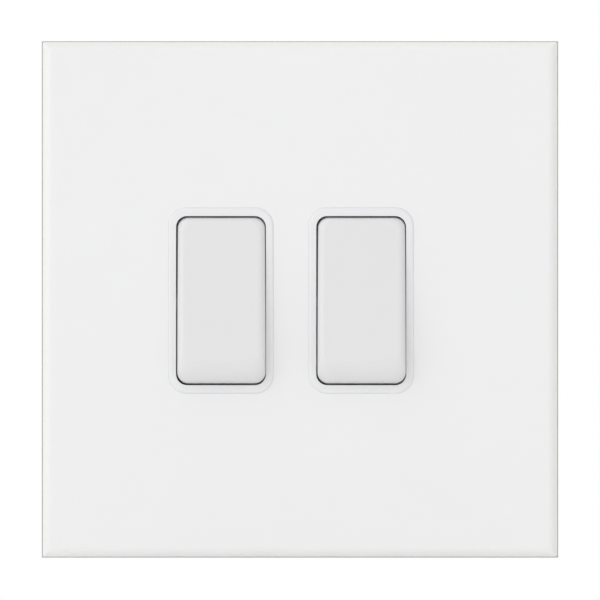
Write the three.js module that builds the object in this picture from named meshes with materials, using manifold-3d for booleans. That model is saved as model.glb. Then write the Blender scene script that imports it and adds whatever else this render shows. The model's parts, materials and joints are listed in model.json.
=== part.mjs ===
// Two-gang rocker wall switch with a pull-off glass faceplate.
//
// Millimetres. +X is to the right as seen from the room, +Z is up, +Y points into the wall.
// The origin is on the wall surface, at the centre of the faceplate. Each gang is built about its own
// centre line and then moved sideways; each rocker and each contact blade is built about its own pivot
// and then turned to the off position, with the top of the rocker pressed in.

import * as THREE from "three";
import { mergeVertices } from "three/addons/utils/BufferGeometryUtils.js";
import Module from "manifold-3d";

const wasm = await Module();
wasm.setup();

// ---------------------------------------------------------------- driving dimensions

const FIT = 0.05; // gap left between two fixed pieces that touch
const SEAT = 0.02; // gap under a screw's head, and behind a contact tip
const PAST = 1; // how far a cutting shape runs past the face that it cuts
const SEGMENTS = 16; // sides of a small cylinder

const plate = {
  size: 90, // width and height of the carrier frame
  front: -10, // y of the glass front
  glass: 4, // thickness of the glass
  inset: 0.2, // how far the glass stops short of the carrier frame's edge
  arris: 1.2, // rounding of the glass's front edge
  tape: 0.5, // thickness of the bonding tape
  web: 1.4, // thickness of the carrier frame behind the tape
  skirt: 2, // thickness of the carrier frame's rim
  rimCorner: 0.8, // inside corner radius of the rim
};

const gang = {
  pitch: 24.4, // distance between the two rockers
  offset: -1.55, // from the plate's centre to the middle of the pair; negative is to the left
  drop: 0.2, // how far the pair's middle is below the plate's centre
};

const tape = { size: 88, corner: 3, around: 24, height: 37 }; // square, with an opening around both modules

const collar = { width: 18.3, height: 32.4, corner: 3.2, front: -10.25, lip: 1, edge: 0.2 };

// Gap around the collar in each of the three sheets that it passes through.
const collarGap = { glass: 0.1, carrier: 0.35, yoke: 0.15 };

const opening = { width: 15.6, height: 29.4, corner: 1.9 }; // the hole in the collar for the rocker

const rocker = {
  width: 15.1,
  pivotDepth: 3.75, // the pivot is this far behind the collar's front
  reach: 14.85, // radius of the end walls about the pivot
  face: 5.7, // distance of the pressing face in front of the pivot
  wall: 1.3,
  skirt: 2, // how far the side walls reach behind the pivot
  edge: 1, // rounding along the sides
  endEdge: 1.1, // rounding between the face and the end walls
  length: 29, // flat-to-flat height seen from the front
  corner: 2.2, // corner radius seen from the front
  swing: 6, // degrees either side of the middle
};

const axle = { radius: 1.25, clearance: 0.1, end: 8.9 };

const hub = { radius: 3.1, bore: 2.1, back: 8, top: 4 }; // tube for the spring, and its bore's end

const rib = { half: 0.6, reach: 12.5, back: -2 }; // the two ribs that cross inside the rocker

const plunger = { radius: 1.95, tip: 1.5, reach: 12.2, shoulder: 10.2, seat: 5, peg: 1, pegTop: 2.5 };

const spring = { wire: 0.22, radius: 1.6, turns: 6, stepsPerTurn: 12, sides: 3 };

const blade = {
  swing: 9, // degrees either side of the middle
  halfLength: 11.2,
  width: 4.4,
  front: -0.5, // the strip's faces, from the pivot line
  back: 0.3,
  contactAt: 10, // distance of the contact tips from the pivot
  tip: 1.6, // radius of the contact tips
  tipThickness: 0.7,
  clearance: 0.04, // between the plunger and the blade as the rocker passes the middle
};

const fixedTip = { thickness: 0.5, seat: 0.7, gap: 0.03 }; // a fixed contact, and the seat behind it

const body = { width: 22.4, height: 40, depth: 15, wall: 1.3, shoulder: 1.5, corner: 1, room: 0.6 };

// Nibs that hold a cover in its housing.
const clip = { z: 8, half: 1.5, front: 13.4, back: 14.4, reach: 0.4, gap: 0.3 };

// Lugs that hold a housing on the yoke.
const lug = { half: 3, front: -2.2, thickness: 1, upper: 16, lower: -17 };

const yoke = { width: 74, height: 66, thickness: 1.2, corner: 4 };

const fixing = {
  spacing: 60.3,
  shank: 1.7,
  head: 3.4,
  headHeight: 2.2,
  length: 25,
  driver: { half: 0.5, depth: 1.1 }, // the screwdriver slot
  slotWidth: 4, // the slot in the yoke
  slotLength: 7,
  room: 5, // radius of the hole in the carrier frame for the head
};

const terminal = {
  width: 6.6,
  height: 6.2,
  front: 6.9,
  back: 12.9,
  wireHole: 1.6,
  wireEntry: 1.9, // radius of the hole in the housing
  wireAt: 9.4,
  screwRoom: 2.9, // radius of the hole in the cover
  x: 4.2,
  z: 15.2,
};

const strip = { front: 9.6, back: 10.4 }; // the brass strips between the terminals and the contacts

const terminalScrew = {
  shank: 1.5,
  hole: 1.7,
  head: 2.5,
  headHeight: 2.2,
  slot: 0.8,
  slotDepth: 0.8,
  tip: 10.6, // y of a terminal screw's tip
  earthLength: 3,
};

const earth = { z: -27, half: 3.2, depth: 6, post: 1.4, rivet: 2.4, wireZ: -26.4, wireY: 3.4 };

// The faceplate's hooks and the yoke's tabs; the fronts and backs are y, and the window is cut in the tab.
const catches = {
  x: 22,
  width: 8,
  height: 2.6,
  gap: 0.3,
  arm: { thickness: 1.2, half: 2.5, back: -1 },
  nib: { height: 0.25, front: -2, back: -1.2 },
  window: { half: 2.8, front: -3, back: -1.8 },
};

const pry = { half: 4, front: -1.5 }; // notch in the rim's lower edge, to pull the faceplate off with

// Sizes and places that follow from the driving dimensions.
const glassBack = plate.front + plate.glass;
const tapeBack = glassBack + plate.tape;
const webBack = tapeBack + plate.web;
const pivotY = collar.front + rocker.pivotDepth;
const bladeY = pivotY + plunger.reach + blade.clearance - blade.front;
const bodyFront = FIT;
const gangX = { left: gang.offset - gang.pitch / 2, right: gang.offset + gang.pitch / 2 };
const radians = THREE.MathUtils.degToRad;

// ---------------------------------------------------------------- materials

const finish = (color, roughness, metalness = 0) =>
  new THREE.MeshStandardMaterial({ color, roughness, metalness });

const white = {
  glass: finish(0xefefef, 0.08),
  plastic: finish(0xe6e6e6, 0.3),
  collar: finish(0xe9e9ec, 0.3),
  frame: finish(0xc4c4c4, 0.45),
  tape: finish(0xf4f4f4, 0.9),
};
const metal = {
  steel: finish(0xb9bcc0, 0.35, 1),
  screw: finish(0xc4c6c8, 0.3, 1),
  brass: finish(0xc9a552, 0.35, 1),
  copper: finish(0xb87a4b, 0.4, 1),
  silver: finish(0xd8d8d4, 0.3, 1),
  spring: finish(0x9a9da1, 0.35, 1),
};
const other = { cover: finish(0xdadad6, 0.5), plunger: finish(0x2b2b2d, 0.5) };

// ---------------------------------------------------------------- solids

// A closed three.js geometry as a manifold solid.
function solid(geometry) {
  const bare = geometry.index ? geometry.toNonIndexed() : geometry.clone();
  bare.deleteAttribute("normal");
  bare.deleteAttribute("uv");
  const merged = mergeVertices(bare, 1e-4);
  return new wasm.Manifold(
    new wasm.Mesh({
      numProp: 3,
      vertProperties: merged.attributes.position.array,
      triVerts: new Uint32Array(merged.index.array),
    }),
  );
}

const join = (...solids) => solids.reduce((all, next) => all.add(next));
const cut = (base, ...tools) => tools.reduce((left, tool) => left.subtract(tool), base);

// A closed outline through the curves of a shape, with no point repeated.
function outlineOf(shape, divisions) {
  const points = shape.getPoints(divisions);
  const apart = (a, b) => a.distanceTo(b) > 1e-3;
  return new THREE.Shape(points.filter((point, i) => apart(point, points[(i + 1) % points.length])));
}

// A rectangle with rounded corners, seen from the front.
function roundedRect(width, height, corner, x = 0, z = 0) {
  const [w, h] = [width / 2, height / 2];
  const shape = new THREE.Shape();
  shape.absarc(x + w - corner, z + h - corner, corner, 0, Math.PI / 2);
  shape.absarc(x - w + corner, z + h - corner, corner, Math.PI / 2, Math.PI);
  shape.absarc(x - w + corner, z - h + corner, corner, Math.PI, 1.5 * Math.PI);
  shape.absarc(x + w - corner, z - h + corner, corner, 1.5 * Math.PI, 2 * Math.PI);
  shape.closePath();
  return shape;
}

// A rectangle with sharp corners, seen from the front.
function rectangle(width, height) {
  const [w, h] = [width / 2, height / 2];
  return new THREE.Shape([[-w, -h], [w, -h], [w, h], [-w, h]].map(([x, z]) => new THREE.Vector2(x, z)));
}

// A front-view shape as a slab between two depths. A rounded edge takes `edge` off each side.
function slab(shape, front, back, { edge = 0, curveSegments = 4 } = {}) {
  const geometry = new THREE.ExtrudeGeometry(shape, {
    depth: back - front - 2 * edge,
    curveSegments,
    bevelEnabled: edge > 0,
    bevelThickness: edge,
    bevelSize: edge,
    bevelOffset: -edge,
    bevelSegments: 2,
  });
  geometry.rotateX(Math.PI / 2);
  geometry.translate(0, back - edge, 0);
  return solid(geometry);
}

// A side-view shape, drawn as (y, z), as a prism of the given width about x = 0.
const SIDE_VIEW = new THREE.Matrix4().set(0, 0, 1, 0, 1, 0, 0, 0, 0, 1, 0, 0, 0, 0, 0, 1);
function sidePrism(shape, width, edge = 0) {
  const geometry = new THREE.ExtrudeGeometry(outlineOf(shape, 6), {
    depth: width - 2 * edge,
    bevelEnabled: edge > 0,
    bevelThickness: edge,
    bevelSize: edge,
    bevelOffset: -edge,
    bevelSegments: 3,
  });
  geometry.applyMatrix4(SIDE_VIEW);
  geometry.translate(edge - width / 2, 0, 0);
  return solid(geometry);
}

// A box between two corners.
function box([x0, y0, z0], [x1, y1, z1]) {
  const geometry = new THREE.BoxGeometry(x1 - x0, y1 - y0, z1 - z0);
  geometry.translate((x0 + x1) / 2, (y0 + y1) / 2, (z0 + z1) / 2);
  return solid(geometry);
}

// A round bar along an axis, from one place on it to another, about the point `at` of the other two axes.
function bar(axis, radius, from, to, at = [0, 0], segments = SEGMENTS) {
  const geometry = new THREE.CylinderGeometry(radius, radius, to - from, segments);
  const middle = (from + to) / 2;
  if (axis === "x") geometry.rotateZ(Math.PI / 2).translate(middle, at[0], at[1]);
  if (axis === "y") geometry.translate(at[0], middle, at[1]);
  if (axis === "z") geometry.rotateX(Math.PI / 2).translate(at[0], at[1], middle);
  return solid(geometry);
}

// A profile of (radius, y) points turned about the Y axis.
function turned(points) {
  return solid(new THREE.LatheGeometry(points.map(([r, y]) => new THREE.Vector2(r, y)), SEGMENTS));
}

function mesh(name, shape, material) {
  const { vertProperties, triVerts } = shape.getMesh();
  const geometry = new THREE.BufferGeometry();
  geometry.setAttribute("position", new THREE.BufferAttribute(vertProperties, 3));
  geometry.setIndex(new THREE.BufferAttribute(triVerts, 1));
  geometry.computeVertexNormals();
  const made = new THREE.Mesh(geometry, material);
  made.name = name;
  return made;
}

// ---------------------------------------------------------------- faceplate

// The outline of the collar, grown by a gap, at both gangs.
const collarOutlines = (gap) =>
  Object.values(gangX).map((x) =>
    roundedRect(collar.width + 2 * gap, collar.height + 2 * gap, collar.corner + gap, x, -gang.drop),
  );

function glassPanel() {
  const side = plate.size - 2 * plate.inset;
  const outline = rectangle(side, side);
  const rounded = slab(outline, plate.front, glassBack + 2 * plate.arris, { edge: plate.arris });
  const panel = rounded.intersect(slab(outline, plate.front - PAST, glassBack));
  const holes = collarOutlines(collarGap.glass);
  return cut(panel, ...holes.map((hole) => slab(hole, plate.front - PAST, glassBack + PAST)));
}

// Foam tape that bonds the glass to the carrier frame, open around the rockers.
function bondingTape() {
  const frame = rectangle(tape.size, tape.size);
  const width = gang.pitch + tape.around;
  frame.holes.push(roundedRect(width, tape.height, tape.corner, gang.offset, -gang.drop));
  return slab(frame, glassBack, tapeBack);
}

// Hook that catches a tab of the yoke, drawn for the top of the plate: an arm with a small nib.
function hook(x) {
  const { arm, nib } = catches;
  const inside = yoke.height / 2 + catches.gap;
  return join(
    box([x - arm.half, webBack - FIT, inside], [x + arm.half, arm.back, inside + arm.thickness]),
    box([x - arm.half, nib.front, inside - nib.height], [x + arm.half, nib.back, inside + FIT]),
  );
}

function carrierFrame() {
  const half = plate.size / 2;
  const inner = plate.size - 2 * plate.skirt;
  const rim = slab(rectangle(plate.size, plate.size), tapeBack, 0);
  const shell = cut(rim, slab(roundedRect(inner, inner, plate.rimCorner), webBack, PAST));
  const collarHoles = collarOutlines(collarGap.carrier).map((hole) =>
    slab(hole, tapeBack - PAST, webBack + PAST),
  );
  const screwHoles = [-1, 1].map((side) =>
    bar("y", fixing.room, tapeBack - PAST, webBack + PAST, [(side * fixing.spacing) / 2, 0]),
  );
  const pryNotch = box([-pry.half, pry.front, -half - PAST], [pry.half, PAST, PAST - half + plate.skirt]);
  const upper = [-catches.x, catches.x].map(hook);
  const lower = upper.map((one) => one.mirror([0, 0, 1]));
  return join(cut(shell, ...collarHoles, ...screwHoles, pryNotch), ...upper, ...lower);
}

// ---------------------------------------------------------------- mounting yoke

// Tab bent forward from the yoke's top edge, with a window for the faceplate's hook.
function yokeTab(x) {
  const { width, height, window } = catches;
  const edge = yoke.height / 2;
  const root = -yoke.thickness;
  const tab = box([x - width / 2, root - height, edge - yoke.thickness], [x + width / 2, root + FIT, edge]);
  const [inside, outside] = [edge - yoke.thickness - PAST, edge + PAST];
  return cut(tab, box([x - window.half, window.front, inside], [x + window.half, window.back, outside]));
}

function mountingYoke() {
  const sheet = slab(roundedRect(yoke.width, yoke.height, yoke.corner), -yoke.thickness, 0);
  const front = -yoke.thickness - PAST;
  const collarHoles = collarOutlines(collarGap.yoke).map((hole) => slab(hole, front, PAST));
  const slots = [-1, 1].map((side) => {
    const { slotWidth, slotLength, spacing } = fixing;
    const outline = roundedRect(slotWidth, slotLength, slotWidth / 2 - 0.01, (side * spacing) / 2);
    return slab(outline, front, PAST);
  });
  const earthHole = bar("y", earth.post + 2 * FIT, front, PAST, [0, earth.z]);
  const upper = [-catches.x, catches.x].map(yokeTab);
  const lower = upper.map((tab) => tab.mirror([0, 0, 1]));
  return join(cut(sheet, ...collarHoles, ...slots, earthHole), ...upper, ...lower);
}

// Machine screw along Y with a slotted head at the front, its head seated on y = 0.
function fixingScrew() {
  const head = turned([
    [0, -fixing.headHeight],
    [fixing.head * 0.7, -fixing.headHeight],
    [fixing.head * 0.93, -fixing.headHeight * 0.75],
    [fixing.head, -fixing.headHeight * 0.35],
    [fixing.head, 0],
    [0, 0],
  ]);
  const shank = bar("y", fixing.shank, -FIT, fixing.length, [0, 0], 14);
  const { half, depth } = fixing.driver;
  const top = -fixing.headHeight;
  return cut(join(head, shank), box([-fixing.head, top - PAST, -half], [fixing.head, top + depth, half]));
}

// Brass block riveted to the back of the yoke.
function earthTerminal() {
  const block = box(
    [-earth.half, FIT, earth.z - earth.half],
    [earth.half, FIT + earth.depth, earth.z + earth.half],
  );
  const post = bar("y", earth.post, -yoke.thickness - 0.5, FIT * 2, [0, earth.z]);
  const rivetHead = bar("y", earth.rivet, -yoke.thickness - 0.7, -yoke.thickness - FIT, [0, earth.z]);
  const side = earth.half + PAST;
  const wireHole = bar("x", terminal.wireHole, -side, side, [FIT + earth.wireY, earth.wireZ]);
  const screwHole = bar("z", terminalScrew.hole, earth.z - side, earth.wireZ, [0, FIT + earth.wireY]);
  return cut(join(block, post, rivetHead), wireHole, screwHole);
}

// Clamp screw along Y, its slotted head seated on y = 0 and facing +Y, its shank pointing to -Y.
function clampScrew(length) {
  const { head, headHeight, slot, slotDepth, shank } = terminalScrew;
  const screw = join(bar("y", head, 0, headHeight), bar("y", shank, -length, FIT, [0, 0], 14));
  return cut(screw, box([-head, headHeight - slotDepth, -slot / 2], [head, headHeight + PAST, slot / 2]));
}

// ---------------------------------------------------------------- switch module

// Boxes across a module at its two pairs of clips.
const clipBoxes = (reach, half, front, back) =>
  [-clip.z, clip.z].map((z) => box([-reach, front, z - half], [reach, back, z + half]));

// Front shell of a module: the collar around the rocker and the box behind the yoke.
function housing() {
  const outer = roundedRect(collar.width, collar.height, collar.corner);
  const neck = slab(outer, collar.front, body.shoulder + 0.5, { edge: collar.edge });
  const shell = slab(roundedRect(body.width, body.height, body.corner), bodyFront, body.depth);
  const rockerHole = slab(
    roundedRect(opening.width, opening.height, opening.corner),
    collar.front - PAST,
    collar.front + collar.lip + PAST,
  );
  const neckRoom = slab(
    roundedRect(opening.width + 0.1, opening.height + 0.8, opening.corner),
    collar.front + collar.lip,
    body.shoulder + PAST,
  );
  const inner = [body.width - 2 * body.wall, body.height - 2 * body.wall];
  const bodyRoom = slab(roundedRect(...inner, body.room), bodyFront + body.shoulder, body.depth + PAST);
  const axleHole = bar("x", axle.radius + axle.clearance, -collar.width, collar.width, [pivotY, 0], 24);
  const end = body.height / 2;
  const wireHoles = terminalPlaces.map(({ x, z }) => {
    const [from, to] = z > 0 ? [end - 2, end + PAST] : [-end - PAST, 2 - end];
    return bar("z", terminal.wireEntry, from, to, [x, terminal.wireAt]);
  });
  const windows = clipBoxes(body.width, clip.half + clip.gap, clip.front - 0.2, clip.back + 0.2);
  const lugs = [lug.upper, lug.lower].map((z) =>
    box([-lug.half, lug.front, z], [lug.half, -yoke.thickness - FIT, z + lug.thickness]),
  );
  const room = join(rockerHole, neckRoom, bodyRoom);
  return join(cut(join(neck, shell), room, axleHole, ...wireHoles, ...windows), ...lugs);
}

const terminalPlaces = [
  { name: "upper", x: -terminal.x, z: terminal.z },
  { name: "lower", x: -terminal.x, z: -terminal.z },
  { name: "common", x: terminal.x, z: -terminal.z },
];

// Back of a module: it closes the housing and carries the terminals.
function baseCover() {
  const [width, height] = [body.width - 2 * body.wall - 0.2, body.height - 2 * body.wall - 0.2];
  const front = terminal.back + 0.1;
  const cover = slab(roundedRect(width, height, body.room), front, body.depth);
  const screwHoles = terminalPlaces.map(({ x, z }) =>
    bar("y", terminal.screwRoom, front - PAST, body.depth + PAST, [x, z]),
  );
  const under = strip.back + FIT;
  const supports = [
    box([-7, under, 8.5], [1.8, front + FIT, 11.4]), // behind the upper contact's strip
    box([-7, under, -11.4], [1.8, front + FIT, -8.5]), // behind the lower contact's strip
    box([3.9, under, -11], [7.2, front + FIT, 1.3]), // behind the common terminal's arm
    box([-0.4, 7, -18.3], [0.4, front + FIT, -12.4]), // barrier between the two lower terminals
  ];
  const middle = box([PAST - width / 2, 13, -20], [width / 2 - PAST, body.depth, 20]);
  const clips = clipBoxes(width / 2 + clip.reach, clip.half, clip.front, clip.back);
  return join(cut(cover, ...screwHoles), ...supports, ...clips.map((one) => cut(one, middle)));
}

// Brass block with a wire hole along Z and a screw hole along Y.
function terminalBlock({ x, z }) {
  const { width, height, front, back, wireHole, wireAt } = terminal;
  const block = box([x - width / 2, front, z - height / 2], [x + width / 2, back, z + height / 2]);
  const wire = bar("z", wireHole, z - height, z + height, [x, wireAt]);
  const screw = bar("y", terminalScrew.hole, wireAt, back + PAST, [x, z]);
  return cut(block, wire, screw);
}

// A disc at a contact, square to the blade when that contact is closed. The side is 1 for the upper contact
// and -1 for the lower.
function contactDisc(side, radius, from, to) {
  return bar("y", radius, from, to, [0, side * blade.contactAt])
    .rotate([-side * blade.swing, 0, 0])
    .translate([0, bladeY, 0]);
}

const fixedTipFront = blade.back + SEAT + blade.tipThickness + FIT;
const fixedTipBack = fixedTipFront + fixedTip.thickness;

// Terminal that one end of the blade closes on.
function throwTerminal({ x, z }) {
  const side = Math.sign(z);
  const inner = Math.abs(z) - terminal.height / 2 + FIT;
  const between = (right, near, far) => {
    const [low, high] = [side * near, side * far].sort((a, b) => a - b);
    return box([x - terminal.width / 2, strip.front, low], [right, strip.back, high]);
  };
  const seat = contactDisc(side, blade.tip, fixedTipBack + fixedTip.gap, fixedTipBack + fixedTip.seat);
  return join(terminalBlock({ x, z }), between(-0.9, 8.3, inner), between(2.2, 8.3, 11.5), seat);
}

// Terminal that the blade rocks on: a knife edge between two ears.
function commonTerminal({ x, z }) {
  const inner = z + terminal.height / 2 - FIT;
  const arm = box([3.6, strip.front, inner], [x + terminal.width / 2, strip.back, 1.6]);
  const bridge = box([-3.2, strip.front, -1.6], [4, strip.back, 1.6]);
  const edgeY = bladeY + blade.back + 0.08;
  const edge = new THREE.Shape([
    new THREE.Vector2(edgeY, 0.15),
    new THREE.Vector2(edgeY, -0.15),
    new THREE.Vector2(strip.front + FIT, -0.9),
    new THREE.Vector2(strip.front + FIT, 0.9),
  ]);
  const ears = [-3.2, 2.4].map((from) =>
    box([from, bladeY - 0.8, -1.1], [from + 0.8, strip.front + FIT, 1.1]),
  );
  return join(terminalBlock({ x, z }), arm, bridge, sidePrism(edge, blade.width - 0.2), ...ears);
}

// ---------------------------------------------------------------- rocker, about its pivot

// Side view of the rocker with its end walls on a radius about the pivot.
function rockerProfile(reach, face, edge) {
  const faceEnd = Math.sqrt((reach - edge) ** 2 - (face - edge) ** 2);
  const tangent = Math.atan2(faceEnd, face - edge);
  const profile = new THREE.Shape();
  profile.absarc(0, 0, reach, Math.PI / 2 - 0.8, Math.PI - tangent);
  profile.absarc(edge - face, faceEnd, edge, Math.PI - tangent, Math.PI);
  profile.absarc(edge - face, -faceEnd, edge, Math.PI, Math.PI + tangent);
  profile.absarc(0, 0, reach, Math.PI + tangent, 1.5 * Math.PI + 0.8);
  profile.closePath();
  return profile;
}

function rockerCap() {
  const { width, length, reach, face, wall, skirt, edge, endEdge, corner } = rocker;
  const skin = sidePrism(rockerProfile(reach, face, endEdge), width, edge);
  const outline = slab(roundedRect(width, length, corner), -face - PAST, skirt);
  const hollow = sidePrism(rockerProfile(reach - wall, face - wall, 0.5), width - 2 * wall);
  const tube = bar("y", hub.radius, wall / 2 - face, hub.back);
  const bore = bar("y", hub.bore, -hub.top, hub.back + PAST);
  const acrossRib = box([-width / 2 + 0.5, wall / 2 - face, -rib.half], [width / 2 - 0.5, skirt, rib.half]);
  const alongRib = box([-rib.half, wall / 2 - face, -rib.reach], [rib.half, rib.back, rib.reach]);
  const pins = bar("x", axle.radius, -axle.end, axle.end, [0, 0], 24);
  const pinGap = box([0.3 - width / 2, -2, -2], [width / 2 - 0.3, 2, 2]);
  const cap = cut(skin.intersect(outline), hollow);
  return join(cut(join(cap, tube, acrossRib, alongRib), bore), cut(pins, pinGap));
}

class Helix extends THREE.Curve {
  constructor(from, to) {
    super();
    this.ends = [from, to];
  }

  getPoint(t, target = new THREE.Vector3()) {
    const angle = 2 * Math.PI * spring.turns * t;
    const y = THREE.MathUtils.lerp(...this.ends, t);
    return target.set(spring.radius * Math.cos(angle), y, spring.radius * Math.sin(angle));
  }
}

function plungerSpring() {
  const path = new Helix(-hub.top + spring.wire + FIT, plunger.seat - spring.wire - FIT);
  const section = new THREE.Shape();
  section.absarc(0, 0, spring.wire, 0, 2 * Math.PI);
  const steps = spring.turns * spring.stepsPerTurn;
  return solid(new THREE.ExtrudeGeometry(section, { extrudePath: path, steps, curveSegments: spring.sides }));
}

// Nylon pin that the spring pushes against the blade, with a peg inside the spring.
function plungerPin() {
  const { radius, tip, reach, shoulder, seat, peg, pegTop } = plunger;
  const centre = reach - tip;
  const dome = [0, 1, 2, 3, 4].map((i) => {
    const angle = ((4 - i) / 4) * (Math.PI / 2);
    return [tip * Math.sin(angle), centre + tip * Math.cos(angle)];
  });
  const profile = [[0, pegTop], [peg, pegTop], [peg, seat], [radius, seat], [radius, shoulder], ...dome];
  profile[profile.length - 1][0] = 0;
  return turned(profile);
}

// ---------------------------------------------------------------- contact blade, about its pivot

function contactBlade() {
  const outline = roundedRect(blade.width, 2 * blade.halfLength, 1.6);
  return slab(outline, blade.front, blade.back);
}

function movingTip(side) {
  const from = blade.back + SEAT;
  return bar("y", blade.tip, from, from + blade.tipThickness, [0, side * blade.contactAt]);
}

// ---------------------------------------------------------------- assembly

function module(side) {
  const group = new THREE.Group();
  group.position.set(gangX[side], 0, -gang.drop);
  const name = (piece) => `${side}_${piece}`;
  group.add(mesh(name("housing"), housing(), white.collar));
  group.add(mesh(name("base_cover"), baseCover(), other.cover));
  for (const place of terminalPlaces) {
    const shape = place.name === "common" ? commonTerminal(place) : throwTerminal(place);
    group.add(mesh(name(`${place.name}_terminal`), shape, metal.brass));
    const screwShape = clampScrew(terminal.back - terminalScrew.tip);
    const screw = mesh(name(`${place.name}_clamp_screw`), screwShape, metal.screw);
    screw.position.set(place.x, terminal.back + SEAT, place.z);
    group.add(screw);
  }
  for (const [place, way] of [["upper", 1], ["lower", -1]]) {
    const disc = contactDisc(way, blade.tip, fixedTipFront, fixedTipBack);
    group.add(mesh(name(`${place}_fixed_contact`), disc, metal.silver));
  }

  const rocking = new THREE.Group();
  rocking.position.y = pivotY;
  rocking.rotation.x = radians(-rocker.swing);
  rocking.add(mesh(name("rocker"), rockerCap(), white.plastic));
  rocking.add(mesh(name("plunger_spring"), plungerSpring(), metal.spring));
  rocking.add(mesh(name("plunger"), plungerPin(), other.plunger));
  group.add(rocking);

  const seesaw = new THREE.Group();
  seesaw.position.y = bladeY;
  seesaw.rotation.x = radians(blade.swing);
  seesaw.add(mesh(name("contact_blade"), contactBlade(), metal.copper));
  seesaw.add(mesh(name("upper_moving_contact"), movingTip(1), metal.silver));
  seesaw.add(mesh(name("lower_moving_contact"), movingTip(-1), metal.silver));
  group.add(seesaw);
  return group;
}

const wallSwitch = new THREE.Group();
wallSwitch.add(mesh("glass_panel", glassPanel(), white.glass));
wallSwitch.add(mesh("bonding_tape", bondingTape(), white.tape));
wallSwitch.add(mesh("carrier_frame", carrierFrame(), white.frame));
wallSwitch.add(mesh("mounting_yoke", mountingYoke(), metal.steel));
wallSwitch.add(mesh("earth_terminal", earthTerminal(), metal.brass));

const earthScrew = mesh("earth_screw", clampScrew(terminalScrew.earthLength), metal.screw);
earthScrew.rotation.x = -Math.PI / 2;
earthScrew.position.set(0, FIT + earth.wireY, earth.z - earth.half - SEAT);
wallSwitch.add(earthScrew);

for (const [side, way] of [["left", -1], ["right", 1]]) {
  const screw = mesh(`${side}_fixing_screw`, fixingScrew(), metal.screw);
  screw.position.set((way * fixing.spacing) / 2, -yoke.thickness - SEAT, 0);
  wallSwitch.add(screw, module(side));
}

export default wallSwitch;
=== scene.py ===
"""A two-gang rocker wall switch with a white glass faceplate, seen from the room against a white ground.

Lengths in the modelling code are millimetres, turned to metres where a mesh is made. X is to the right,
Y into the wall and Z up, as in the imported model.
"""

import json
import math

import bmesh
import bpy
from mathutils import Matrix, Vector


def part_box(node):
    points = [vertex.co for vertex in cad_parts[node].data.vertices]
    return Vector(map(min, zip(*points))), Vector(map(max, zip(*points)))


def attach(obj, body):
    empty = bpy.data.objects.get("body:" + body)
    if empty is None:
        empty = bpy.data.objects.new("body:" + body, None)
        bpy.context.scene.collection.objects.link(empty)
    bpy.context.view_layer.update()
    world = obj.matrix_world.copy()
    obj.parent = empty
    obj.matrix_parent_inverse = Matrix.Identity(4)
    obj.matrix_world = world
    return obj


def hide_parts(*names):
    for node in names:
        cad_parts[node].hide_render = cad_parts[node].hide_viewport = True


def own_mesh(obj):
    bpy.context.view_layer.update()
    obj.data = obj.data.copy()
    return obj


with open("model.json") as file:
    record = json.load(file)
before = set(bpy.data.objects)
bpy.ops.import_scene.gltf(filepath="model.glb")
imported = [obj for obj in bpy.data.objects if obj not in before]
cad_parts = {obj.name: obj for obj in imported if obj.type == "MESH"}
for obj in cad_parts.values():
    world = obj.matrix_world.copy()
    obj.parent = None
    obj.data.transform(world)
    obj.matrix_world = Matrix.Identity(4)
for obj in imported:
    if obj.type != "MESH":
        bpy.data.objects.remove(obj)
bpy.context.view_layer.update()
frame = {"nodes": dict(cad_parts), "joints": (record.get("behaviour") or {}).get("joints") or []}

MM = 0.001
PAST = 1  # how far a cutting tool goes past the surface


def mm_box(node):
    """(lowest corner, highest corner) of a CAD node at rest, in millimetres."""
    low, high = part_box(node)
    return Vector(low) / MM, Vector(high) / MM


def hinge_depth(name):
    """How far into the wall a joint's axis lies, in millimetres."""
    return next(j for j in frame["joints"] if j["name"] == name)["pos_m"][1] / MM


# ---------------------------------------------------------------- mesh tools

BEVELLED, SHARP = math.radians(32), math.radians(38)  # edges steeper than these are rounded, or shaded sharp
FLAT_WEIGHT = 80  # how much a large face decides the shading of the round edge beside it


def rounded_loop(width, height, radius, x=0.0, z=0.0, steps=10):
    """A rectangle with rounded corners seen from the front, as (x, z) points."""
    points = []
    for right, up, start in ((1, 1, 0), (-1, 1, 90), (-1, -1, 180), (1, -1, 270)):
        middle_x, middle_z = x + right * (width / 2 - radius), z + up * (height / 2 - radius)
        for i in range(steps + 1):
            a = math.radians(start + 90 * i / steps)
            points.append((middle_x + radius * math.cos(a), middle_z + radius * math.sin(a)))
    return points


def as_object(name, bm):
    bmesh.ops.recalc_face_normals(bm, faces=bm.faces)
    mesh = bpy.data.meshes.new(name)
    bm.to_mesh(mesh)
    bm.free()
    made = bpy.data.objects.new(name, mesh)
    bpy.context.scene.collection.objects.link(made)
    return made


def loft(name, rings):
    """A closed skin through rings of (x, y, z) points, all of one length, with a flat cap at each end."""
    bm = bmesh.new()
    rows = [[bm.verts.new(Vector(p) * MM) for p in ring] for ring in rings]
    for low, high in zip(rows, rows[1:]):
        for i in range(len(low)):
            k = (i + 1) % len(low)
            bm.faces.new((low[i], low[k], high[k], high[i]))
    bm.faces.new(rows[0])
    bm.faces.new(rows[-1][::-1])
    return as_object(name, bm)


def at_depth(loop, y):
    return [(x, y, z) for x, z in loop]


def slab(name, sections, x=0.0, z=0.0, steps=10):
    """A front-view shape through depths: sections are (y, width, height, corner) about one centre."""
    return loft(name, [at_depth(rounded_loop(w, h, r, x, z, steps), y) for y, w, h, r in sections])


def cuboid(name, low, high):
    (x0, y0, z0), (x1, y1, z1) = low, high
    corners = [(x0, z0), (x1, z0), (x1, z1), (x0, z1)]
    return loft(name, [at_depth(corners, y0), at_depth(corners, y1)])


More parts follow.
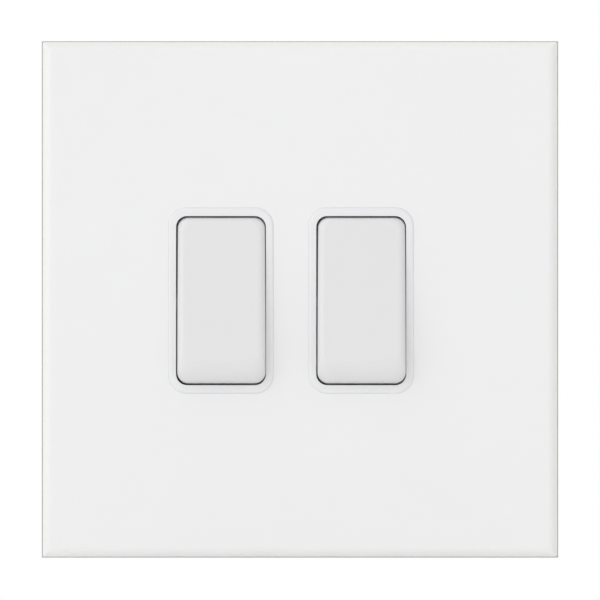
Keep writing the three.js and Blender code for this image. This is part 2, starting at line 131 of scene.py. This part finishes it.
def turned(name, profile, sides=48, axis="Y", centre=(0, 0, 0)):
    """A profile of (radius, distance along the axis) points turned about an axis, both ends on the axis."""
    bm = bmesh.new()
    rows = []
    for r, t in profile:
        angles = [2 * math.pi * i / sides for i in range(sides)] if r else [0]
        rows.append([bm.verts.new((r * math.cos(a) * MM, t * MM, r * math.sin(a) * MM)) for a in angles])
    for low, high in zip(rows, rows[1:]):
        for i in range(sides):
            k = (i + 1) % sides
            around = [low[i % len(low)], low[k % len(low)], high[k % len(high)], high[i % len(high)]]
            face = list(dict.fromkeys(around))
            if len(face) > 2:
                bm.faces.new(face)
    turn = {
        "X": Matrix.Rotation(-math.pi / 2, 4, "Z"),
        "Y": Matrix(),
        "Z": Matrix.Rotation(math.pi / 2, 4, "X"),
    }[axis]
    bmesh.ops.transform(bm, matrix=Matrix.Translation(Vector(centre) * MM) @ turn, verts=bm.verts)
    return as_object(name, bm)


def rod(name, axis, radius, start, end, centre=(0, 0, 0), sides=48):
    return turned(name, [(0, start), (radius, start), (radius, end), (0, end)], sides, axis, centre)


def settle(piece):
    """Applies a piece's modifiers."""
    graph = bpy.context.evaluated_depsgraph_get()
    mesh = bpy.data.meshes.new_from_object(piece.evaluated_get(graph))
    mesh.name = piece.name
    piece.modifiers.clear()
    old, piece.data = piece.data, mesh
    bpy.data.meshes.remove(old)
    return piece


def combine(piece, operation, *others):
    for other in others:
        step = piece.modifiers.new("combine", "BOOLEAN")
        step.operation, step.object, step.solver = operation, other, "EXACT"
        settle(piece)
        mesh = other.data
        bpy.data.objects.remove(other)
        bpy.data.meshes.remove(mesh)
    return piece


def cut(piece, *tools):
    return combine(piece, "DIFFERENCE", *tools)


def join(piece, *others):
    return combine(piece, "UNION", *others)


def move(piece, matrix):
    piece.data.transform(matrix)
    return piece


def shift(by):
    """The move by a vector in millimetres."""
    return Matrix.Translation(Vector(by) * MM)


def soften(piece, width=0.0, segments=2):
    """Rounds a piece's sharp edges and gives it smooth shading that keeps its flats flat."""
    mesh = piece.data
    if width:
        bm = bmesh.new()
        bm.from_mesh(mesh)
        bmesh.ops.remove_doubles(bm, verts=bm.verts, dist=1e-7)
        bmesh.ops.dissolve_limit(bm, angle_limit=math.radians(1), verts=bm.verts, edges=bm.edges)
        bm.to_mesh(mesh)
        bm.free()
        bevel = piece.modifiers.new("edges", "BEVEL")
        bevel.width, bevel.segments = width * MM, segments
        bevel.limit_method, bevel.angle_limit = "ANGLE", BEVELLED
        bevel.miter_outer = "MITER_ARC"
        settle(piece)
        mesh = piece.data
    mesh.shade_smooth()
    mesh.set_sharp_from_angle(angle=SHARP)
    flats = piece.modifiers.new("flats", "WEIGHTED_NORMAL")
    flats.keep_sharp, flats.weight = True, FLAT_WEIGHT
    return piece


def copy_of(node, name):
    """A new object with a CAD node's shape."""
    source = frame["nodes"][node]
    mesh = source.data.copy()
    mesh.transform(source.matrix_world)
    mesh.materials.clear()
    for attribute in [a.name for a in mesh.attributes if not a.is_required]:
        mesh.attributes.remove(mesh.attributes[attribute])
    made = bpy.data.objects.new(name, mesh)
    bpy.context.scene.collection.objects.link(made)
    return made


def place(piece, body, nodes, material):
    """Gives a finished piece its material and its body, and hides the CAD nodes that it stands for."""
    piece.data.materials.clear()
    piece.data.materials.append(MATERIALS[material])
    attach(piece, body)
    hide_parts(*nodes)
    return piece


def helix_tube(name, radius, wire, start, end, turns, steps=30, sides=10):
    """A round wire wound about Y, with a flat part of a turn at each end."""
    flat = 0.6  # of a turn
    total = int(turns * steps)
    path = []
    for i in range(total + 1):
        t = i / total
        rise = min(max((t * turns - flat) / (turns - 2 * flat), 0), 1)
        a = 2 * math.pi * turns * t
        path.append(Vector((radius * math.cos(a), start + (end - start) * rise, radius * math.sin(a))))
    angles = [2 * math.pi * k / sides for k in range(sides)]
    rings = []
    for i, p in enumerate(path):
        along = (path[min(i + 1, total)] - path[max(i - 1, 0)]).normalized()
        out = Vector((p.x, 0, p.z)).normalized()
        up = along.cross(out).normalized()
        out = up.cross(along)
        rings.append([tuple(p + wire * (math.cos(b) * out + math.sin(b) * up)) for b in angles])
    return loft(name, rings)


def threaded_rod(name, radius, pitch, start, end, depth, lead, sides=28, per_pitch=6):
    """A screw shank along Y with a helical thread, its last part, the lead, tapering to the tip."""
    narrowed = 0.35  # how much thinner it is at the tip
    rows = int((end - start) / pitch * per_pitch)
    rings = []
    for j in range(rows + 1):
        y = start + (end - start) * j / rows
        taper = min(1, max(0, (end - y) / lead))
        ring = []
        for i in range(sides):
            turn = (y - start) / pitch - i / sides
            ridge = abs(2 * (turn % 1) - 1)
            r = radius - depth * (1 - ridge) - (1 - taper) * narrowed
            a = 2 * math.pi * i / sides
            ring.append((r * math.cos(a), y, r * math.sin(a)))
        rings.append(ring)
    return loft(name, rings)


# ---------------------------------------------------------------- materials


class Nodes:
    """A short way to write the nodes of a material or of the world."""

    def __init__(self, owner):
        owner.use_nodes = True
        self.tree = owner.node_tree

    def feed(self, socket, value):
        if isinstance(value, bpy.types.NodeSocket):
            self.tree.links.new(value, socket)
        else:
            socket.default_value = value

    def fill(self, node, inputs):
        """Feeds a node's inputs by name, with _ for a space."""
        for key, value in inputs.items():
            self.feed(node.inputs[key.replace("_", " ")], value)

    def new(self, kind, **inputs):
        node = self.tree.nodes.new("ShaderNode" + kind)
        self.fill(node, inputs)
        return node

    def maths(self, operation, *values):
        node = self.new("Math")
        node.operation = operation
        for socket, value in zip(node.inputs, values):
            self.feed(socket, value)
        return node.outputs["Value"]


class Surface(Nodes):
    """A material with the Principled shader."""

    def __init__(self, name):
        self.material = bpy.data.materials.new(name)
        super().__init__(self.material)
        self.shader = self.tree.nodes["Principled BSDF"]
        self.coords = self.new("TexCoord").outputs["Object"]

    def stretched(self, scale):
        return self.new("Mapping", Vector=self.coords, Scale=scale).outputs["Vector"]

    def noise(self, scale, detail=2.0, vector=None, roughness=0.5):
        """Soft clouds, for the most part between 0.3 and 0.7."""
        vector = self.coords if vector is None else vector
        node = self.new("TexNoise", Vector=vector, Scale=scale, Detail=detail, Roughness=roughness)
        return node.outputs["Fac"]

    def spread(self, value, low, high, start=0.3, end=0.7):
        """Values from start to end, spread from low to high."""
        node = self.new("MapRange", Value=value, From_Min=start, From_Max=end, To_Min=low, To_Max=high)
        return node.outputs["Result"]

    def blend(self, factor, a, b):
        node = self.new("Mix")
        node.data_type = "RGBA"
        self.fill(node, {"Factor": factor, "A": a, "B": b})
        return node.outputs["Result"]

    def bump(self, *layers):
        """Layers of (height, strength, distance in metres), the first underneath."""
        normal = None
        for height, strength, distance in layers:
            node = self.new("Bump", Height=height, Strength=strength, Distance=distance)
            if normal is not None:
                self.feed(node.inputs["Normal"], normal)
            normal = node.outputs["Normal"]
        self.feed(self.shader.inputs["Normal"], normal)

    def finish(self, **inputs):
        self.fill(self.shader, inputs)
        return self.material


def linear(*srgb):
    """An 8-bit display colour as a linear RGBA colour."""
    values = [v / 255 for v in srgb]
    return tuple(v / 12.92 if v <= 0.04045 else ((v + 0.055) / 1.055) ** 2.4 for v in values) + (1.0,)


def plastic(name, colour, shade, roughness, grain, coat=0.0):
    """Moulded plastic: faint flow marks in the colour, a fine spark-eroded grain and uneven gloss."""
    n = Surface(name)
    grain_size = 0.00012  # metres
    flow = n.noise(90, 3, n.stretched((1.0, 1.0, 0.35)))
    n.bump((n.noise(1 / grain_size, 2), grain, 0.00001), (n.noise(160, 2), 0.01, 0.0001))
    return n.finish(
        Base_Color=n.blend(n.spread(flow, 0, 1), linear(*colour), linear(*shade)),
        Roughness=n.spread(n.noise(420, 3), roughness - 0.015, roughness + 0.035),
        Coat_Weight=coat,
        Coat_Roughness=0.12,
        IOR=1.5,
    )


def plated_metal(name, colour, shade, roughness, direction):
    """Plated or rolled metal: fine drawn lines, cloudy colour and patchy gloss."""
    n = Surface(name)
    lines = n.noise(900, 4, n.stretched(direction), 0.6)
    cloud = n.noise(260, 4)
    gloss = n.maths("MULTIPLY_ADD", cloud, 0.25, lines)
    n.bump((lines, 0.12, 0.00002), (n.noise(5200, 2), 0.05, 0.00001))
    return n.finish(
        Base_Color=n.blend(n.spread(cloud, 0, 1), linear(*colour), linear(*shade)),
        Roughness=n.spread(gloss, roughness, roughness + 0.1, 0.35, 0.95),
        Metallic=1.0,
    )


def glass_paint():
    """Float glass painted white on the back: a deep clean gloss, a faint orange peel and a green edge."""
    n = Surface("painted_glass")
    green_from, green_to = 0.0432, 0.0448  # metres from the middle, where the green cast comes in
    x, _, z = n.new("SeparateXYZ", Vector=n.coords).outputs
    reach = n.maths("MAXIMUM", n.maths("ABSOLUTE", x), n.maths("ABSOLUTE", z))
    cloud = n.spread(n.noise(28, 2), 0, 1)
    face = n.blend(cloud, linear(239, 239, 239), linear(238, 238, 239))
    n.bump((n.noise(45, 1), 0.02, 0.0002))
    return n.finish(
        Base_Color=n.blend(n.spread(reach, 0, 1, green_from, green_to), face, linear(234, 235, 231)),
        Roughness=n.spread(n.noise(300, 3), 0.05, 0.09),
        Coat_Weight=0.6,
        Coat_Roughness=0.03,
        IOR=1.52,
    )


def foam():
    """Closed-cell foam tape: small round cells that show as pits, with painted shade darkening each pit."""
    n = Surface("foam_tape")
    cells = n.new("TexVoronoi", Vector=n.coords, Scale=2600.0).outputs["Distance"]
    n.bump((cells, 0.5, 0.00008))
    return n.finish(
        # Painted shade: the colour is darkest at each cell's middle, where its pit is deepest.
        Base_Color=n.blend(n.spread(cells, 0, 1, 0.0, 0.8), linear(214, 214, 211), linear(242, 242, 240)),
        Roughness=n.spread(n.noise(800, 3), 0.82, 0.95),
    )


def wire():
    """Drawn spring wire: a dark oil film over bright steel, with die lines round the wire."""
    n = Surface("spring_wire")
    film = n.noise(1400, 3)
    n.bump((n.noise(6000, 2), 0.15, 0.00001))
    return n.finish(
        Base_Color=n.blend(n.spread(film, 0, 1), linear(168, 170, 174), linear(120, 122, 128)),
        Roughness=n.spread(film, 0.28, 0.4),
        Metallic=1.0,
    )


# How much finer a metal's marks are along X, Y and Z: cast has no direction, the others have drawn lines.
CAST, UPRIGHT, LEVEL = (1.0, 1.0, 1.0), (30.0, 1.0, 1.0), (1.0, 1.0, 14.0)

# Two display colours a material, for its lighter and darker clouds, then its roughness. No roughness
# crosses 0.27, where the picture's noise filter leaves dark marks.
MATERIALS = {
    "glass": glass_paint(),
    "rocker": plastic("rocker_plastic", (227, 227, 227), (226, 226, 226), 0.3, 0.012, coat=0.15),
    "collar": plastic("module_plastic", (235, 235, 236), (233, 233, 235), 0.3, 0.012, coat=0.15),
    "cover": plastic("cover_plastic", (214, 213, 207), (206, 204, 197), 0.48, 0.2),
    "carrier": plastic("carrier_plastic", (186, 186, 187), (181, 181, 182), 0.42, 0.16),
    "nylon": plastic("plunger_nylon", (46, 46, 48), (38, 38, 41), 0.45, 0.1),
    "foam": foam(),
    "zinc": plated_metal("zinc_plate", (200, 202, 206), (195, 197, 201), 0.34, UPRIGHT),
    "nickel": plated_metal("screw_nickel", (208, 208, 206), (190, 190, 189), 0.28, CAST),
    "brass": plated_metal("terminal_brass", (214, 176, 98), (190, 148, 74), 0.28, LEVEL),
    "copper": plated_metal("blade_copper", (206, 138, 98), (178, 108, 74), 0.29, UPRIGHT),
    "silver": plated_metal("contact_silver", (228, 227, 222), (206, 205, 201), 0.28, CAST),
    "wire": wire(),
}

# ---------------------------------------------------------------- camera, light and ground

PHOTO_WIDTH = 104.6  # millimetres of the object's plane that the picture spans
DISTANCE = 3.0  # metres from the object to the camera
SENSOR = 36  # millimetres

TENT, LEAN = 0.853, 0.14  # the light tent's level, and how much more there is at its left
BEHIND = 0.58  # the tent's level behind the wall

# Soft bright patches of the tent: the way to each, its sharpness and its level.
KEY = ((-0.6, -0.68, 0.42), 8, 0.9)
OVERHEAD = ((-0.35, 0.45, 0.8), 3, 0.8)
FAR_SIDE = ((0.8, 0.6, 0.1), 6, 0.5)

scene = bpy.context.scene
scene.view_settings.view_transform = "Standard"

camera = bpy.data.objects.new("camera", bpy.data.cameras.new("camera"))
scene.collection.objects.link(camera)
scene.camera = camera
back = Vector((0, -1, 0))  # the way from the object to the camera, straight out of the wall
target = Vector((0, -5, -0.1)) * MM
camera.location = target + back * DISTANCE
camera.rotation_mode = "QUATERNION"
camera.rotation_quaternion = (-back).to_track_quat("-Z", "Y")
camera.data.sensor_width = SENSOR
camera.data.lens = DISTANCE / MM * SENSOR / PHOTO_WIDTH
camera.data.clip_start, camera.data.clip_end = 0.1, 20

scene.world = bpy.data.worlds.new("studio")
sky = Nodes(scene.world)
sky.tree.nodes.clear()
way = sky.new("TexCoord").outputs["Generated"]
way_x, way_y, _ = sky.new("SeparateXYZ", Vector=way).outputs


def with_patch(level, direction, sharpness, strength):
    """A level with a soft bright patch added: strongest in its middle, fading out all round."""
    dot = sky.new("VectorMath")
    dot.operation = "DOT_PRODUCT"
    sky.feed(dot.inputs[0], way)
    sky.feed(dot.inputs[1], Vector(direction).normalized())
    patch = sky.maths("POWER", sky.maths("MAXIMUM", dot.outputs["Value"], 0), sharpness)
    return sky.maths("MULTIPLY_ADD", patch, strength, level)


# In front of the wall the tent is even, a little brighter on the left. Behind the wall it is darker at the
# level of the eye and brighter overhead, so that the metal parts at the back have something to mirror.
ahead = with_patch(sky.maths("MULTIPLY_ADD", way_x, -TENT * LEAN, TENT), *KEY)
behind = with_patch(with_patch(BEHIND, *OVERHEAD), *FAR_SIDE)
past_wall = sky.new("MapRange", Value=way_y, From_Min=0.1, From_Max=0.6)
past_wall.interpolation_type = "SMOOTHSTEP"
level = sky.maths("MULTIPLY_ADD", past_wall.outputs["Result"], sky.maths("SUBTRACT", behind, ahead), ahead)

# The camera sees plain white where there is no object.
light = sky.new("Background", Color=(1, 1, 1, 1), Strength=level)
seen = sky.new("Background", Color=(1, 1, 1, 1))
mix = sky.new("MixShader", Fac=sky.new("LightPath").outputs["Is Camera Ray"])
sky.feed(mix.inputs[1], light.outputs[0])
sky.feed(mix.inputs[2], seen.outputs[0])
sky.new("OutputWorld", Surface=mix.outputs[0])

# The floor lies just below the photo's view, and shows in the views from other sides.
floor = cuboid("floor", (-1200, -1600, -61.5), (1200, 450, -60.5))
ground = Surface("ground")
pale = ground.blend(ground.spread(ground.noise(6, 3), 0, 1), (0.97, 0.97, 0.97, 1), (0.95, 0.95, 0.955, 1))
floor.data.materials.append(ground.finish(Base_Color=pale, Roughness=0.9))

# ---------------------------------------------------------------- faceplate

GANGS = {}  # the middle of each module, seen from the front
for side in ("left", "right"):
    low, high = mm_box(f"{side}_housing")
    GANGS[side] = Vector(((low.x + high.x) / 2, 0, (low.z + high.z) / 2))
MODULE_FRONT, MODULE_REAR = low.y, high.y  # the same in both

COLLAR_WIDTH, COLLAR_HEIGHT, COLLAR_CORNER = 18.3, 32.4, 3.2
FIT = 0.004  # gap round the collars in the glass

glass_low, glass_high = mm_box("glass_panel")
GLASS_FRONT, GLASS_REAR, GLASS_SIZE = glass_low.y, glass_high.y, glass_high.x - glass_low.x


def glass_panel():
    """The pane, with a wide polished edge in front, a small one behind, and a hole for each collar."""
    wide, deep, rings = 1.7, 1.2, 12  # the polished edge's reach along the face and into the thickness
    bevel, corner = 0.25, 0.3
    size = GLASS_SIZE
    sections = [
        (GLASS_REAR, size - 2 * bevel, size - 2 * bevel, bevel),
        (GLASS_REAR - bevel, size, size, corner),
    ]
    for i in range(rings + 1):
        a = math.pi / 2 * i / rings
        across = size - 2 * wide * (1 - math.cos(a))
        sections.append((GLASS_FRONT + deep * (1 - math.sin(a)), across, across, corner))
    panel = slab("glass_faceplate", sections, steps=4)
    w, h, r = COLLAR_WIDTH + 2 * FIT, COLLAR_HEIGHT + 2 * FIT, COLLAR_CORNER + FIT
    eased = 0.02  # the hole's broken edge
    hole = [
        (GLASS_FRONT - PAST, w + 2 * eased, h + 2 * eased, r + eased),
        (GLASS_FRONT, w + 2 * eased, h + 2 * eased, r + eased),
        (GLASS_FRONT + eased, w, h, r),
        (GLASS_REAR + PAST, w, h, r),
    ]
    for centre in GANGS.values():
        cut(panel, slab("hole", hole, centre.x, centre.z, steps=16))
    return soften(panel)


def carrier():
    """The moulded frame, with short stiffening ribs between its web and its rim, clear of the yoke."""
    piece = soften(copy_of("carrier_frame", "faceplate_carrier"), 0.08)
    half, front, back, rim = 0.4, -4.2, -1.9, 43.2  # half a rib's thickness, its two depths, and the rim
    for sign in (-1, 1):
        low, high = sorted((34 * sign, rim * sign))
        for x in (-37, -31, -13, -8, 8, 13, 31, 37):
            join(piece, cuboid("rib", (x - half, front, low), (x + half, back, high)))
        low, high = sorted((38 * sign, rim * sign))
        for z in range(-28, 29, 7):
            join(piece, cuboid("rib", (low, front, z - half), (high, back, z + half)))
    return soften(piece)


place(glass_panel(), "switch_body", ["glass_panel"], "glass")
tape = soften(copy_of("bonding_tape", "foam_bonding_tape"))
place(tape, "switch_body", ["bonding_tape"], "foam")
place(carrier(), "switch_body", ["carrier_frame"], "carrier")
yoke = soften(copy_of("mounting_yoke", "steel_yoke"), 0.12)
place(yoke, "switch_body", ["mounting_yoke"], "zinc")
earth_block = soften(copy_of("earth_terminal", "earth_block"), 0.12)
place(earth_block, "switch_body", ["earth_terminal"], "brass")

# ---------------------------------------------------------------- screws

HEAD = 2.2  # the height of both kinds of screw head


def clamp_screw(name, length, centre, axis="Y"):
    """A cheese-head clamp screw with its slot, head on the +axis side of centre."""
    profile = [(0, 0), (2.5, 0), (2.5, 1.85), (2.42, 2.05), (2.2, HEAD), (0, HEAD)]
    screw = turned(name, profile, 56)
    cut(screw, cuboid("slot", (-3, 1.4, -0.4), (3, 3, 0.4)))
    join(screw, threaded_rod("shank", 1.5, 0.5, -length, 0.1, depth=0.22, lead=0.01))
    if axis == "-Z":
        move(screw, Matrix.Rotation(-math.pi / 2, 4, "X"))
    move(screw, shift(centre))
    return soften(screw, 0.05, 1)


def fixing_screw(name, centre):
    """A pan-head M3.5 screw: a domed head with a slot, and a threaded shank into the wall box."""
    radius = 3.4
    angles = [math.radians(degrees) for degrees in range(20, 86, 8)]
    dome = [(radius * math.sin(a), -HEAD + HEAD * (1 - math.cos(a)) ** 0.9) for a in angles]
    screw = turned(name, [(0, -HEAD)] + dome + [(radius, -0.3), (radius - 0.05, 0), (0, 0)], 56)
    cut(screw, cuboid("slot", (-4, -3, -0.5), (4, -1.1, 0.5)))
    join(screw, threaded_rod("shank", 1.7, 0.6, -0.1, 25, depth=0.28, lead=0.8))
    move(screw, shift(centre))
    return soften(screw)


for side in GANGS:
    low, high = mm_box(f"{side}_fixing_screw")
    screw = fixing_screw(f"{side}_box_screw", ((low.x + high.x) / 2, low.y + HEAD, 0))
    place(screw, "switch_body", [f"{side}_fixing_screw"], "nickel")

low, high = mm_box("earth_screw")
centre = ((low.x + high.x) / 2, (low.y + high.y) / 2, low.z + HEAD)
screw = clamp_screw("earth_clamp", high.z - low.z - HEAD, centre, "-Z")
place(screw, "switch_body", ["earth_screw"], "nickel")

# ---------------------------------------------------------------- modules

CASE_WIDTH, CASE_HEIGHT = 22.4, 40
OPENING = (15.6, 29.4, 1.9)  # width, height and corner of the mouth that the cap rocks in
PIVOT_Y, BLADE_Y = hinge_depth("left_rocker_hinge"), hinge_depth("left_blade_hinge")
TILT, BLADE_TILT = math.radians(-6), math.radians(9)  # of the rocker and of the contact blade at rest
CONTACT_Z = 10  # how far above and below the middle the contacts are

# From the pivot: the face's distance, the radius of the end walls' curve, and how far out that is cut flat.
FACE, REACH, END_FLAT = 5.7, 14.9, 14.6
PLAY = (0.07, 0, -0.11)  # how far the caps sit from the middle of their openings


def hinged(side, depth, angle):
    """From a frame on a hinge's axis to the module's place, turned by the hinge."""
    return shift(GANGS[side] + Vector((0, depth, 0))) @ Matrix.Rotation(angle, 4, "X")


def rocking(side):
    return hinged(side, PIVOT_Y, TILT)


def housing(side):
    """The case behind, hollow for the contacts, and the collar that stands through the glass."""
    front, rear = MODULE_FRONT, MODULE_REAR
    w, h, r = COLLAR_WIDTH, COLLAR_HEIGHT, COLLAR_CORNER
    steepest = math.radians(55)  # the slope at which the collar's rounded edge meets the glass
    edge = (GLASS_FRONT - front) / (1 - math.cos(steepest))
    rings = 8
    collar = [(2.0, w, h, r)]
    for i in range(rings + 1):
        a = steepest * (1 - i / rings)
        inset = edge * (math.sin(steepest) - math.sin(a))
        collar.append((front + edge * (1 - math.cos(a)), w - 2 * inset, h - 2 * inset, r - inset))
    shell = slab(f"{side}_module_case", collar, steps=18)
    cw, ch = CASE_WIDTH, CASE_HEIGHT
    case = [(0.05, cw - 0.4, ch - 0.4, 0.8), (0.25, cw, ch, 1)]
    case += [(rear - 0.3, cw, ch, 1), (rear, cw - 0.6, ch - 0.6, 0.7)]
    join(shell, slab("case", case, steps=6))

    ow, oh, corner = OPENING
    lip, rings = 0.1, 5  # the mouth's rounded edge
    mouth = [(front - PAST, ow + 2 * lip, oh + 2 * lip, corner + lip)]
    for i in range(rings + 1):
        a = math.pi / 2 * i / rings
        grow = lip * (1 - math.sin(a))
        mouth.append((front + lip * (1 - math.cos(a)), ow + 2 * grow, oh + 2 * grow, corner + grow))
    mouth.append((front + 2, ow, oh, corner))
    cut(shell, slab("mouth", mouth, steps=18))
    cut(shell, slab("neck_room", [(y, ow + 0.1, oh + 0.8, corner) for y in (front + 0.5, 3)]))
    cut(shell, slab("case_room", [(y, cw - 2.6, ch - 2.6, 0.6) for y in (1.55, rear + PAST)], steps=6))

    cut(shell, rod("axle_hole", "X", 1.35, -20, 20, (0, PIVOT_Y, 0)))
    for x, sign in ((-4.2, 1), (-4.2, -1), (4.2, -1)):
        low, high = sorted((17.5 * sign, 22 * sign))
        cut(shell, rod("wire_way", "Z", 1.9, low, high, (x, 9.4, 0)))
    for z in (-8, 8):
        cut(shell, cuboid("window", (-25, 13.2, z - 1.8), (25, 14.6, z + 1.8)))
    for z in (16, -17):
        join(shell, cuboid("lug", (-3, -2.2, z), (3, -1.25, z + 1)))
    return move(soften(shell), shift(GANGS[side]))


def rocker(side):
    """The cap about its pivot: end walls on a curve round it, and a face that rolls over at its lower end."""
    corner, skirt = 1.9, 2.0  # the corners seen from the front, and how far past the pivot the walls reach
    # Each edge's depth, its reach along the face, and its shape: 2 is a quarter round, nearer 1 is a chamfer.
    side_edge, upper_edge, lower_edge = (1.1, 1.1, 2), (0.5, 0.5, 2), (2.0, 2.8, 1.65)

    def reach_at(y):
        """Half the height, to the end walls."""
        return min(math.sqrt(REACH**2 - y * y), END_FLAT)

    def half_at(y):
        """Half the width: the side walls lean out a little towards the back."""
        return min(7.535 + 0.055 * (y + FACE), 7.68)

    def rounding(edge, y):
        """How far a rounded edge has pulled in at a depth near the face."""
        depth, reach, shape = edge
        t = min(max((depth - FACE - y) / depth, 0), 1)
        return reach * (1 - (1 - t**shape) ** (1 / shape))

    straight, rounded = 12, 20  # rings down the walls, and round the edge
    edge_start = lower_edge[0] - FACE
    depths = [skirt - (skirt - edge_start) * i / straight for i in range(straight + 1)]
    angles = [math.pi / 2 * i / rounded for i in range(1, rounded + 1)]
    depths += [-FACE + lower_edge[0] * (1 - math.sin(a)) for a in angles]
    rings = []
    for y in depths:
        width = 2 * (half_at(y) - rounding(side_edge, y))
        top, bottom = reach_at(y) - rounding(upper_edge, y), rounding(lower_edge, y) - reach_at(y)
        rings.append(at_depth(rounded_loop(width, top - bottom, corner, 0, (top + bottom) / 2, 16), y))
    cap = loft(f"{side}_rocker_cap", rings)

    wall, room, rounding_inside, levels = 1.4, 12.8, 1.2, 6  # the wall's thickness, and the width within
    inside = [(skirt + PAST, room, 26.6, rounding_inside)]
    for i in range(levels + 1):
        y = skirt - (skirt + FACE - wall) * i / levels
        inside.append((y, room, 2 * (reach_at(y) - wall), rounding_inside))
    cut(cap, slab("inside", inside, steps=6))

    ribs_from = -FACE + 0.7
    join(cap, rod("hub", "Y", 3.1, ribs_from, 8))
    join(cap, cuboid("cross_rib", (-7.1, ribs_from, -0.6), (7.1, 1.9, 0.6)))
    join(cap, cuboid("long_rib", (-0.6, ribs_from, -12.4), (0.6, -2, 12.4)))
    cut(cap, rod("bore", "Y", 2.1, -4, 8 + PAST))
    for sign in (-1, 1):
        join(cap, rod("pin", "X", 1.25, *sorted((sign * 7.3, sign * 8.9)), sides=32))
    return move(soften(cap), shift(PLAY) @ rocking(side))


def rear_cover(side):
    """The back of a module: a sunk panel, round marks of the ejector pins and a groove as a strip gauge."""
    cover = soften(copy_of(f"{side}_base_cover", f"{side}_rear_cover"), 0.15)
    back, past = MODULE_REAR, MODULE_REAR + PAST
    tools = [slab("panel", [(back - 0.3, 11.6, 17, 0.8), (past, 12.2, 17.6, 1.1)], 1.2, 0.6, steps=6)]
    for x, z in ((4.6, 14.2), (0, -12.2), (-4.3, 10.7)):
        tools.append(rod("mark", "Y", 1.2, back - 0.14, past, (x, 0, z), sides=32))
    tools.append(slab("gauge", [(back - 0.5, 0.9, 9, 0.4), (past, 1.3, 9.4, 0.6)], -7.6, -1.5, steps=6))
    for tool in tools:
        cut(cover, move(tool, shift(GANGS[side])))
    return soften(cover)


def plunger(side):
    """A nylon pin with a thin peg inside the spring, a collar that the spring pushes on, and a round tip."""
    tip, tip_start = 1.5, 10.7
    peg = [(0, 2.5), (0.85, 2.5), (1, 2.65), (1, 5)]
    collar = [(1.85, 5), (1.95, 5.1), (1.95, 10.1), (1.85, 10.2)]
    angles = [math.radians(degrees) for degrees in range(0, 90, 9)]
    dome = [(tip * math.cos(a), tip_start + tip * math.sin(a)) for a in angles]
    pin = turned(f"{side}_plunger_pin", peg + collar + dome + [(0, tip_start + tip)], 40)
    return move(soften(pin), rocking(side))


def contact_rivet(name, thickness, dome, start, centre_z, matrix):
    """A round silver contact: its dome rises on the +Y side when dome is positive, or on the -Y side."""
    radius, chamfer, rise, steps = 1.6, 0.08, abs(dome), 8
    shoulder = thickness - rise
    angles = [math.pi / 2 * i / steps for i in range(1, steps)]
    profile = [(0, 0), (radius - chamfer, 0), (radius, chamfer), (radius, shoulder)]
    profile += [(radius * math.cos(a), shoulder + rise * math.sin(a)) for a in angles] + [(0, thickness)]
    if dome < 0:
        profile = [(r, thickness - t) for r, t in profile[::-1]]
    return move(soften(turned(name, profile, 36, "Y", (0, start, centre_z))), matrix)


for side in GANGS:
    place(housing(side), "switch_body", [f"{side}_housing"], "collar")
    place(rocker(side), f"{side}_rocker", [f"{side}_rocker"], "rocker")
    place(plunger(side), f"{side}_plunger", [f"{side}_plunger"], "nylon")

    # The spring fills 9 mm of the hub's bore, from its end at -4, and the plunger slides 1.2 mm into it.
    spring = helix_tube(f"{side}_coil_spring", 1.6, 0.22, -3.74, 4.74, 6.6)
    move(soften(spring), rocking(side))
    place(spring, f"{side}_rocker", [f"{side}_plunger_spring"], "wire")
    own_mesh(spring)

    place(rear_cover(side), "switch_body", [f"{side}_base_cover"], "cover")
    for spot in ("upper", "lower", "common"):
        block = soften(copy_of(f"{side}_{spot}_terminal", f"{side}_{spot}_block"), 0.1)
        place(block, "switch_body", [f"{side}_{spot}_terminal"], "brass")
        low, high = mm_box(f"{side}_{spot}_clamp_screw")
        centre = ((low.x + high.x) / 2, high.y - HEAD, (low.z + high.z) / 2)
        screw = clamp_screw(f"{side}_{spot}_screw", high.y - low.y - HEAD, centre)
        place(screw, "switch_body", [f"{side}_{spot}_clamp_screw"], "nickel")

    blade = soften(copy_of(f"{side}_contact_blade", f"{side}_seesaw_blade"), 0.08)
    place(blade, f"{side}_blade", [f"{side}_contact_blade"], "copper")
    for spot, sign in (("upper", 1), ("lower", -1)):
        # A fixed contact lies as its moving one does when the two are shut.
        rest, shut = hinged(side, BLADE_Y, BLADE_TILT), hinged(side, BLADE_Y, -sign * BLADE_TILT)
        moving = contact_rivet(f"{side}_{spot}_moving_tip", 0.7, 0.2, 0.32, sign * CONTACT_Z, rest)
        place(moving, f"{side}_blade", [f"{side}_{spot}_moving_contact"], "silver")
        fixed = contact_rivet(f"{side}_{spot}_fixed_tip", 0.5, -0.15, 1.07, sign * CONTACT_Z, shut)
        place(fixed, "switch_body", [f"{side}_{spot}_fixed_contact"], "silver")
